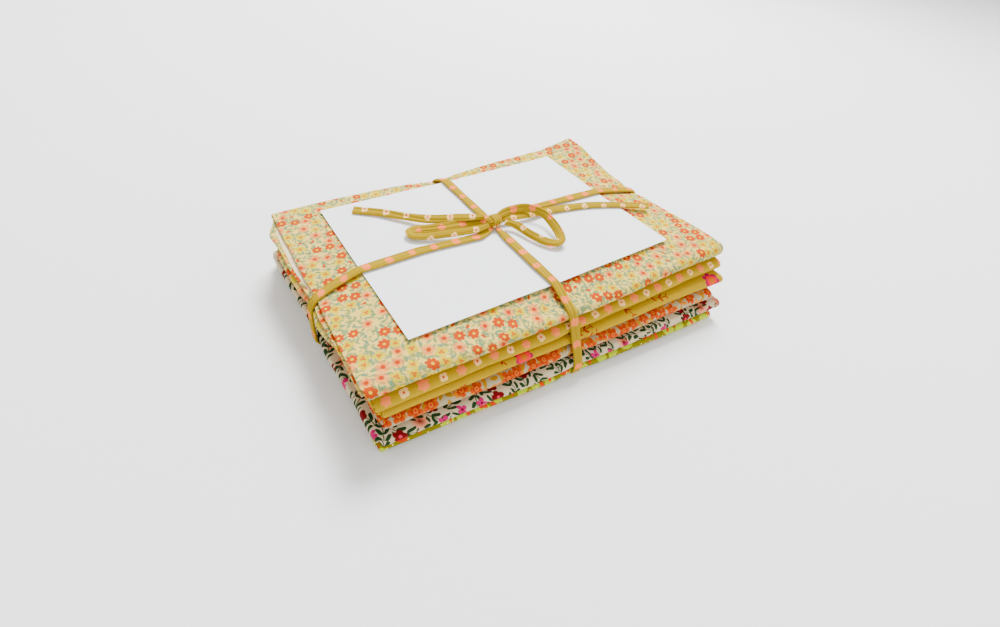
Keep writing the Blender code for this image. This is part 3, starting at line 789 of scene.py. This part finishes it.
vineCells = {"perMetre": 78, "shift": (3.5, 9.4, 0), "uneven": 0.6}
vinePrint = {
    "ground": (198, 180, 144),
    "inks": {"green": (28, 56, 24), "red": (108, 8, 14), "pink": (186, 8, 94),
             "blot": (226, 106, 66), "heart": (230, 52, 84)},
    "motifs": {
        "blots": motif("flowers", perMetre=52, shift=(2.2, 4.9, 0), uneven=0.7, high=0.6,
                       radius=0.0052, petals=5, notch=0.1, heart=0.0016, edge=0.003),
        "vines": motif("sprigs", perMetre=86, shift=(6.1, 1.3, 0), uneven=0.7, length=0.0064,
                       stem=0.0003, bend=45, leafPitch=0.0048, leafLength=0.0042,
                       leafWidth=0.0018),
        "red": motif("flowers", high=0.36, radius=0.0042, petals=5, notch=0.3, heart=0.0011,
                     **vineCells),
        "pink": motif("flowers", low=0.36, high=0.62, radius=0.0036, petals=4, notch=0.62,
                      heart=0.0008, **vineCells),
    },
    "strokes": [("blots", "bloom", "blot", 0.75), ("vines", "stem", "green"),
                ("vines", "leaves", "green"), ("red", "bloom", "red"),
                ("red", "heart", "heart", 0.8), ("pink", "bloom", "pink"),
                ("pink", "heart", "red"), ("blots", "heart", "red")],
    "reverse": ((232, 214, 190), 0.65),
}

olivePrint = {
    "ground": (128, 118, 0),
    "inks": {"lime": (176, 196, 0), "orange": (214, 58, 0), "white": (236, 230, 110)},
    "motifs": {
        "lime": motif("leaves", perMetre=74, shift=(5.5, 0.9, 0), uneven=0.55, high=0.85,
                      length=0.0072, width=0.0042),
        "arcs": motif("sprigs", perMetre=90, shift=(8.2, 2.6, 0), uneven=0.6, high=0.85,
                      length=0.0044, stem=0.0013, bend=90),
        "dots": motif("flowers", perMetre=230, uneven=0.45, high=0.6, radius=0.00062, petals=4,
                      notch=0.1),
    },
    "strokes": [("lime", "leaf", "lime"), ("arcs", "stem", "orange"), ("dots", "bloom", "white")],
    "reverse": ((160, 150, 52), 0.5),
}


def bumpy(tree, shader, height, strength, distance):
    bump = addNode(tree, "Bump", {}, {"Strength": strength, "Distance": distance,
                                      "Height": height})
    feed(shader["Normal"], bump)


def clothFinish(name, design, strength=0.35):
    # printed cotton; the reverse shows the print paler
    material, tree, shader = newMaterial(
        name, {"Specular IOR Level": 0.06, "Sheen Weight": 0.02, "Sheen Roughness": 0.4})
    uv = addNode(tree, "UVMap", {"uv_map": "cloth"}, {})
    motifs = {}
    for label, (group, turn, settings) in design["motifs"].items():
        place = uv
        if turn:
            place = addNode(tree, "Mapping", {}, {"Vector": uv, "Rotation": (0, 0, turn)})
        motifs[label] = addNode(tree, "Group", {"node_tree": groups[group]},
                                {"place": place, **settings})
    tint = colour(*design["ground"])
    for label, part, ink, *share in design["strokes"]:
        mask = motifs[label][part]
        if share:
            mask = mask * share[0]
        tint = paint(tree, tint, colour(*design["inks"][ink]), mask)
    if name.endswith("reverse"):
        back, share = design["reverse"]
        tint = paint(tree, tint, colour(*back), share)
    threads = addNode(tree, "Group", {"node_tree": groups["weave"]}, {"place": uv})
    feed(shader["Base Color"], paint(tree, tint, threads["tone"], 1.0, "MULTIPLY"))
    feed(shader["Roughness"], threads["tone"].scaled(-0.3, 1.12))
    bumpy(tree, shader, threads["height"], strength, 0.00006)
    return material


designs = {
    "cream": creamPrint, "mustard": mustardPrint(**mustardCuts["coupon"]),
    "yellow": yellowPrint, "orange": orangePrint, "vine": vinePrint, "olive": olivePrint,
}


def buildCoupon(index):
    own = coupons[index]
    thing = shapeGrid(own["name"] + "_cloth", *folded[index])
    top = max(thing.data.polygons, key=lambda face: face.center.z)
    if top.normal.z < 0:
        editAll(thing)
        bpy.ops.mesh.flip_normals()
        bpy.ops.object.mode_set(mode="OBJECT")
    ground = own["name"].split("_")[-1]
    for side in ("_print", "_reverse"):
        thing.data.materials.append(clothFinish(ground + side, designs[ground]))
    solidify(thing, thickness=folding["cloth"], offset=0.0, use_even_offset=False,
             material_offset=1, material_offset_rim=1)
    smoothUpTo(thing, 50)
    giveToPart(thing, own["name"])
    return len(thing.data.polygons)


print("coupons folded:", [buildCoupon(index) for index in range(len(coupons))])


# The card: one thin sheet, bare, pressed down by the tie and a little lifted at its corners
cardSheet = {
    "size": (0.210, 0.148), "middle": (-0.0011, 0.0076), "thickness": 0.00035,
    "cells": (84, 60), "gap": 0.0003, "leftLift": 0.0003, "rightLift": 0.0009, "edgeLift": 0.00054,
    "heldY": 0.006, "heldHalf": 0.02,
    "paper": ((236, 238, 240), (246, 248, 250)),
}


def cardFinish():
    material, tree, shader = newMaterial("white_card", {"Specular IOR Level": 0.35})
    place = addNode(tree, "TexCoord", {}, {}, "Object")
    fibres = addNode(tree, "TexNoise", {}, {"Vector": place, "Scale": 900.0, "Detail": 5.0,
                                            "Roughness": 0.6})
    cloud = addNode(tree, "TexNoise", {}, {"Vector": place, "Scale": 22.0, "Detail": 2.0})
    dark, light = (colour(*shade) for shade in cardSheet["paper"])
    feed(shader["Base Color"], paint(tree, dark, light, fibres.scaled(0.5, cloud * 0.5)))
    feed(shader["Roughness"], fibres.scaled(0.25, 0.5))
    bumpy(tree, shader, fibres, 0.25, 0.00004)
    return material


def buildCard():
    deselect()
    across, deep = cardSheet["cells"]
    bpy.ops.mesh.primitive_grid_add(x_subdivisions=across, y_subdivisions=deep, size=1)
    thing = bpy.context.active_object
    thing.name = thing.data.name = "label_card_sheet"
    width, depth = cardSheet["size"]
    half = cardSheet["heldHalf"]
    for vertex in thing.data.vertices:
        u, v = vertex.co.x * 2, vertex.co.y * 2
        x = cardSheet["middle"][0] + u * width / 2
        y = cardSheet["middle"][1] + v * depth / 2
        lift = cardSheet["leftLift" if u < 0 else "rightLift"]
        lift *= abs(u) ** 3 * (1 - bell(y - cardSheet["heldY"], half))
        lift += cardSheet["edgeLift"] * abs(v) ** 3 * (1 - bell(x - stack["bandX"], half))
        z = cardPlane(x, y) - cardSheet["thickness"] / 2 - cardSheet["gap"] + lift
        vertex.co = toRow(x, y, z)
    solidify(thing, thickness=cardSheet["thickness"], offset=0.0)
    smoothUpTo(thing, 40)
    thing.data.materials.append(cardFinish())
    giveToPart(thing, "label_card")


buildCard()
print("card laid")


# The tie: a narrow tube of cloth, pulled flat, round the stack both ways, with a knot and a bow
tie = {
    "width": 0.0068, "thickness": 0.0024, "pressed": 0.0006, "clearance": 0.0002,
    "floorGap": 0.0001, "underside": 0.003, "endX": 0.142, "spacing": 0.0018,
    "freeSpacing": 0.0012, "endShare": 0.72, "roundness": (0.8, 0.75), "girth": 0.75,
    "sides": 60,
    "gather": {"reach": 0.012, "narrower": 0.36, "thicker": 0.35},
    # each crease: its place round the tube in degrees, how far it wanders and in what wave, how
    # the seed shifts it, its depth and its spread
    "creases": [(74, 26, 0.031, 1, 0.60, 11), (122, 16, 0.019, 2.1, 0.30, 9),
                (-80, 30, 0.037, 0.7, 0.55, 9)],
    "swells": [(0.05, 0.011), (0.03, 0.0047)],
    "bands": {"tie_band_long": {"seed": 1.3, "rows": (0.0040, 0.0040)},
              "tie_band_short": {"seed": 4.1, "rows": (0.0040, 0.0046)}},
}
knot = {
    "place": (-0.0021, 0.0082), "half": (0.0056, 0.0064, 0.0046), "inside": 0.75,
    "gap": 0.0003, "core": 0.70, "tilt": 0.14, "turnEdge": (0.38, 0.52),
    "stretch": (1.15, 0.94, 0.93),
    # each fold: its depth, how many go round, their twist and where they start; each groove of the
    # turn over them: its depth, its place, how far it swings, how often, and its width
    "folds": [(0.16, 9, 2, 0), (0.08, 14, 0, -1)],
    "grooves": [(0.13, 0.14, 0.06, 2, 0.055), (0.11, -0.17, -0.05, 3, 0.05)],
}

# Routes over the card, repeated from the solids: place and height above the card's plane. The
# free straps have as a fourth number how far the strap is turned there, in degrees.
longBandOver = [
    (-0.1270, 0.0005), (-0.1080, 0.0030), (-0.0640, 0.0040), (-0.0420, 0.0022),
    (-0.0190, 0.0000), (-0.0090, 0.0030), (0.0050, 0.0124), (0.0160, 0.0152),
    (0.0360, 0.0148), (0.0650, 0.0139), (0.1070, 0.0118), (0.1280, 0.0094),
]
freeStraps = [
    {"name": "tie_tail_left", "width": 0.0066, "thickness": 0.0022, "farEnd": "bare",
     "seed": 5, "rows": (-0.0036, -0.0036),
     "route": [(-0.0085, 0.0116, 0.0076, -10), (-0.0240, 0.0201, 0.0068, -20),
               (-0.0429, 0.0305, 0.0050, -25), (-0.0565, 0.0434, 0.0036, -25),
               (-0.0697, 0.0576, 0.0026, -20), (-0.0855, 0.0702, 0.0019, -15)]},
    {"name": "tie_tail_right", "width": 0.0064, "thickness": 0.0022, "farEnd": "bare",
     "seed": 9, "rows": (-0.0030, -0.0022),
     "route": [(0.0050, 0.0080, 0.0042, 10), (0.0140, 0.0066, 0.0044, 20),
               (0.0286, 0.0053, 0.0036, 20), (0.0433, 0.0050, 0.0024, 15),
               (0.0571, 0.0033, 0.0019, 10), (0.0824, -0.0032, 0.0018, 10),
               (0.1051, -0.0142, 0.0019, 5), (0.1252, -0.0260, 0.0020, 5)]},
    {"name": "tie_loop_left", "width": 0.0066, "thickness": 0.0024, "farEnd": "object",
     "seed": 14, "rows": (0.0042, -0.0040),
     "route": [(-0.0086, 0.0100, 0.0044, -20), (-0.0172, 0.0146, 0.0042, -25),
               (-0.0327, 0.0180, 0.0038, -25), (-0.0467, 0.0224, 0.0034, -20),
               (-0.0566, 0.0258, 0.0032, -10), (-0.0620, 0.0242, 0.0032, 0),
               (-0.0606, 0.0192, 0.0032, 10), (-0.0517, 0.0144, 0.0034, 20),
               (-0.0363, 0.0090, 0.0044, 25), (-0.0200, 0.0044, 0.0050, 25),
               (-0.0093, 0.0048, 0.0048, 20)]},
    {"name": "tie_loop_right", "width": 0.0064, "thickness": 0.0022, "farEnd": "object",
     "seed": 21, "rows": (0.0044, -0.0040),
     "route": [(-0.0008, 0.0086, 0.0058, 10), (0.0060, 0.0106, 0.0072, 30),
               (0.0149, 0.0104, 0.0084, 50), (0.0266, 0.0070, 0.0086, 60),
               (0.0336, -0.0047, 0.0078, 60), (0.0320, -0.0227, 0.0060, 45),
               (0.0275, -0.0340, 0.0042, 10), (0.0195, -0.0315, 0.0034, -25),
               (0.0132, -0.0179, 0.0038, -40), (0.0096, -0.0040, 0.0046, -35),
               (0.0040, 0.0026, 0.0050, -20)]},
]


def convexLoop(points):
    # the way of a taut band around the points, counterclockwise
    points = sorted(set(points))

    def turning(a, b, c):
        return (b[0] - a[0]) * (c[1] - a[1]) - (b[1] - a[1]) * (c[0] - a[0])

    def half(run):
        line = []
        for p in run:
            while len(line) > 1 and turning(line[-2], line[-1], p) <= 0:
                line.pop()
            line.append(p)
        return line[:-1]

    return half(points) + half(points[::-1])


def reachedAlong(line):
    # distance from a line's start at each of its points
    return [0.0, *accumulate((b - a).length for a, b in zip(line, line[1:]))]


def evenly(points, spacing):
    # points at even steps round a closed line
    line = [Vector(p) for p in (*points, points[0])]
    lengths = reachedAlong(line)
    count = round(lengths[-1] / spacing)
    found = []
    i = 0
    for k in range(count):
        target = lengths[-1] * k / count
        while lengths[i + 1] < target:
            i += 1
        share = (target - lengths[i]) / max(lengths[i + 1] - lengths[i], 1e-9)
        found.append(line[i].lerp(line[i + 1], share))
    return found


def smoothed(points):
    return [a * 0.25 + b * 0.5 + c * 0.25
            for a, b, c in zip(points[-1:] + points, points, points[1:] + points[:1])]


def taut(outline):
    # centre, outward direction and thickness at each stop of a band drawn tight
    loop = smoothed(smoothed(evenly(convexLoop(outline), tie["spacing"])))
    roomUnder = stack["channelDepth"] - tie["floorGap"] - tie["pressed"]
    stops = []
    for i, p in enumerate(loop):
        before, after = loop[i - 1], loop[(i + 1) % len(loop)]
        out = Vector((after[1] - before[1], before[0] - after[0])).normalized()
        pressed = float(ease(-out.y, 0.1, 0.9))
        thickness = tie["thickness"] + (tie["pressed"] - tie["thickness"]) * pressed
        clear = tie["clearance"] + (roomUnder - tie["clearance"]) * pressed
        stops.append((p + out * (clear + thickness / 2), out, thickness))
    return stops


def gathered(away):
    # 1 at the knot, where the tie is pulled in, and 0 a little away from it
    return 1 - float(ease(away, 0.0, tie["gather"]["reach"]))


def insideKnot(point):
    dx, dy = ((point[i] - knot["place"][i]) / knot["half"][i] for i in range(2))
    return point.z > stack["cardHeight"] / 2 and math.hypot(dx, dy) < knot["inside"]


def openedAtKnot(stops):
    # the stops from one side of the knot round to the other
    outside = [not insideKnot(stop["at"]) for stop in stops]
    start = next(i for i, out in enumerate(outside) if out and not outside[i - 1])
    opened = [stops[i - len(stops)] for i in range(start, start + len(stops))
              if outside[i - len(stops)]]
    for i, stop in enumerate(opened):
        away = min(i, len(opened) - 1 - i) * tie["spacing"]
        stop["width"] = tie["width"] * (1 - tie["gather"]["narrower"] * gathered(away))
    return opened


def bandStops(points, axis):
    # the stops of one run round the stack: axis 0 is the lengthwise one, 1 the crosswise one
    def lineAt(along):
        return (along, channelY(along)) if axis == 0 else (stack["bandX"], along)

    x, y, _ = points.T
    aside = y - channelY(x) if axis == 0 else x - stack["bandX"]
    outline = [(float(point[axis]), float(point[2]))
               for point in points[np.abs(aside) < tie["width"] / 2]]
    for side in (-1, 1):
        along = cardSheet["middle"][axis] + side * cardSheet["size"][axis] / 2
        outline.append((along, cardPlane(*lineAt(along))))
    ends = [lineAt(along) for along in (-tie["endX"], tie["endX"])]
    overX, overY = zip(ends[0], *longBandOver, ends[1])
    deeper = stack["crossingDepth"] - stack["channelDepth"]
    stops = []
    for (along, z), out, thickness in taut(outline):
        x, y = lineAt(along)
        if axis == 0:
            # over the card the run leaves its straight line for the one that the photo shows
            share = float(ease(out.y, 0.2, 0.9))
            aside = (float(np.interp(x, overX, overY)) - y) * share
            z += (cardPlane(x, y + aside) - cardPlane(x, y)) * share
            y += aside
        elif z < tie["underside"] and out.y < -0.5:
            z += deeper * float(channelShare(y - channelY(x)))
        outwards, across = Vector((0, 0, out.y)), Vector((0, 0, 0))
        outwards[axis], across[1 - axis] = out.x, 1
        stops.append({"at": Vector((x, y, z)), "out": outwards, "across": across,
                      "thickness": thickness})
    return openedAtKnot(stops)


def curveThrough(places, spacing):
    # a smooth line through a route's own points
    padded = [2 * places[0] - places[1]] + places + [2 * places[-1] - places[-2]]
    found = []
    for a, b, c, d in zip(padded, padded[1:], padded[2:], padded[3:]):
        steps = max(1, round((c - b).length / spacing))
        for t in (i / steps for i in range(steps)):
            found.append(0.5 * (2 * b + (c - a) * t + (2 * a - 5 * b + 4 * c - d) * t * t
                                + (3 * b - a - 3 * c + d) * t ** 3))
    return found + [places[-1]]


def freeStops(strap):
    places = [Vector((x, y, float(cardPlane(x, y)) + lift)) for x, y, lift, _ in strap["route"]]
    line = curveThrough(places, tie["freeSpacing"])
    reached = reachedAlong(line)
    marks = [reached[min(range(len(line)), key=lambda i: (line[i] - place).length)]
             for place in places]
    turns = [point[3] for point in strap["route"]]
    stops = []
    for i, p in enumerate(line):
        ahead = (line[min(i + 1, len(line) - 1)] - line[max(i - 1, 0)]).normalized()
        level = Vector((0, 0, 1)).cross(ahead).normalized()
        out = ahead.cross(level).normalized()
        turn = math.radians(float(np.interp(reached[i], marks, turns)))
        away = reached[i]
        if strap["farEnd"] == "object":
            away = min(away, reached[-1] - away)
        pull = gathered(away)
        stops.append({"at": p, "out": out * math.cos(turn) - level * math.sin(turn),
                      "across": level * math.cos(turn) + out * math.sin(turn),
                      "thickness": strap["thickness"] * (1 + tie["gather"]["thicker"] * pull),
                      "width": strap["width"] * (1 - tie["gather"]["narrower"] * pull)})
    return stops


def rounded(value, power):
    return math.copysign(abs(value) ** power, value)


def strapRing(stop, reached, seed):
    # the outline of the flattened tube, with lengthwise creases that wander
    flatness = min(1.0, stop["thickness"] / tie["thickness"])
    swell = 1 + sum(size * math.sin(reached / wave + seed) for size, wave in tie["swells"])
    ring = []
    for k in range(tie["sides"]):
        angle = 360 * k / tie["sides"]
        turn = math.radians(angle)
        a = rounded(math.cos(turn), tie["roundness"][0]) * stop["width"] / 2 * swell
        b = rounded(math.sin(turn), tie["roundness"][1]) * stop["thickness"] / 2
        for at, swing, wave, lag, depth, spread in tie["creases"]:
            at += swing * math.sin(reached / wave + lag * seed)
            off = (angle - at + 180) % 360 - 180
            b *= 1 - depth * flatness * math.exp(-((off / spread) ** 2))
        ring.append(stop["at"] + stop["across"] * a + stop["out"] * b)
    return ring


def insetRing(ring):
    middle = sum(ring, Vector()) / len(ring)
    return [middle + (p - middle) * tie["endShare"] for p in ring]


def buildStrap(name, stops, seed, rows, openEnds):
    # a grid of cloth rolled into a tube, its seam joined and its ends closed
    sides = tie["sides"]
    reached = reachedAlong([stop["at"] for stop in stops])
    length = reached[-1]
    rings = [strapRing(*pair, seed) for pair in zip(stops, reached)]
    if openEnds:
        rings = [insetRing(rings[0])] + rings + [insetRing(rings[-1])]
        reached = [reached[0]] + reached + [reached[-1]]
    places = np.array([ring + ring[:1] for ring in rings])
    along = np.array(reached)[:, None] * np.ones(sides + 1)
    # the print's rows wander round the tube from one place to another
    row = rows[0] + (rows[1] - rows[0]) * along / along.max()
    around = math.pi * tie["width"] * tie["girth"] * np.arange(sides + 1) / sides - row
    thing = shapeGrid(name + "_cloth", *places.transpose(2, 0, 1), along, around)
    editAll(thing)
    bpy.ops.mesh.remove_doubles(threshold=1e-6)
    bpy.ops.mesh.fill_holes(sides=0)
    bpy.ops.mesh.normals_make_consistent(inside=False)
    smoothUpTo(thing, 55)
    thing.data.materials.append(tieMaterial)
    giveToPart(thing, name)
    return thing, length


tieMaterial = clothFinish("tie_print", mustardPrint(**mustardCuts["tie"]), 0.45)


def buildTie():
    for strap in freeStraps:
        stops = freeStops(strap)
        name = strap["name"]
        piece, length = buildStrap(name, stops, strap["seed"], strap["rows"], True)
        path = [toRow(*stop["at"]) for stop in stops]
        print(name, "length", round(length, 4))
    points = np.concatenate([np.stack([part.ravel() for part in cloth[:3]], axis=1)
                             for cloth in folded])
    for axis, (name, band) in enumerate(tie["bands"].items()):
        buildStrap(name, bandStops(points, axis), band["seed"], band["rows"], False)


buildTie()
print("tie wound")


# The knot: gathered folds that run out into the loops, with the tie's own turn over them
def buildKnot():
    deselect()
    x, y = knot["place"]
    halfX, halfY, halfZ = (half * more for half, more in zip(knot["half"], knot["stretch"]))
    base = float(cardPlane(x, y)) + knot["gap"]
    bpy.ops.mesh.primitive_uv_sphere_add(segments=96, ring_count=48, radius=1)
    thing = bpy.context.active_object
    thing.name = thing.data.name = "tie_knot_cloth"
    layer = thing.data.uv_layers.active
    layer.name = "cloth"
    for corner in layer.data:
        corner.uv = (corner.uv.x * 0.030 + 0.3, corner.uv.y * 0.014 + 0.1)
    for vertex in thing.data.vertices:
        p = vertex.co.copy()
        angle = math.atan2(p.y, p.x)
        along = math.asin(max(-1.0, min(1.0, p.z))) / (math.pi / 2)
        off = along - knot["tilt"] * math.sin(angle + 0.6)
        core = knot["core"] * math.sqrt(max(0.0, 1 - abs(along) ** 3))
        core *= 1 + sum(depth * math.sin(count * angle + twist * along + start)
                        for depth, count, twist, start in knot["folds"])
        strap = 1.0 + 0.05 * math.sin(3 * angle + 1)
        for depth, place, swing, count, width in knot["grooves"]:
            strap -= depth * float(bell(off - place + swing * math.sin(count * angle), width))
        over = 1 - float(ease(abs(off), *knot["turnEdge"]))
        reach = core + (strap - core) * over
        vertex.co = toRow(x + along * halfX, y + math.cos(angle) * halfY * reach,
                          base + halfZ * (1 + math.sin(angle) * reach))
    chooseOnly(thing)
    bpy.ops.object.shade_smooth()
    thing.data.materials.append(tieMaterial)
    giveToPart(thing, "tie_knot")


buildKnot()
print("knot tied")


# Floor, light and air
studio = {
    "floor": (247, 247, 247), "air": 1.06, "aim": (0, 0, 0.02),
    "lights": {"key": ((0.9, 1.1, 1.9), 0.9, 152.0), "fill": ((0.7, -1.6, 0.8), 1.2, 13.5),
               "side": ((-1.4, -0.5, 1.3), 1.2, 3.4)},      # place, size and power
}


def addStudio():
    deselect()
    bpy.ops.mesh.primitive_plane_add(size=6, location=(0, 0, -0.0001))
    floor = bpy.context.active_object
    floor.name = "paleFloor"
    look = {"Base Color": colour(*studio["floor"]), "Roughness": 0.9}
    floor.data.materials.append(newMaterial("pale_floor", look)[0])
    for name, (place, size, power) in studio["lights"].items():
        bpy.ops.object.light_add(type="AREA", location=place)
        lamp = bpy.context.active_object
        lamp.name = name + "Light"
        lamp.data.size = size
        lamp.data.energy = power
        towards = Vector(studio["aim"]) - Vector(place)
        lamp.rotation_euler = towards.to_track_quat("-Z", "Y").to_euler()
    world = bpy.data.worlds.new("softAir")
    world.use_nodes = True
    air = world.node_tree.nodes["Background"].inputs
    feed(air["Color"], (1, 1, 1))
    feed(air["Strength"], studio["air"])
    bpy.context.scene.world = world


addStudio()
print("studio lit")
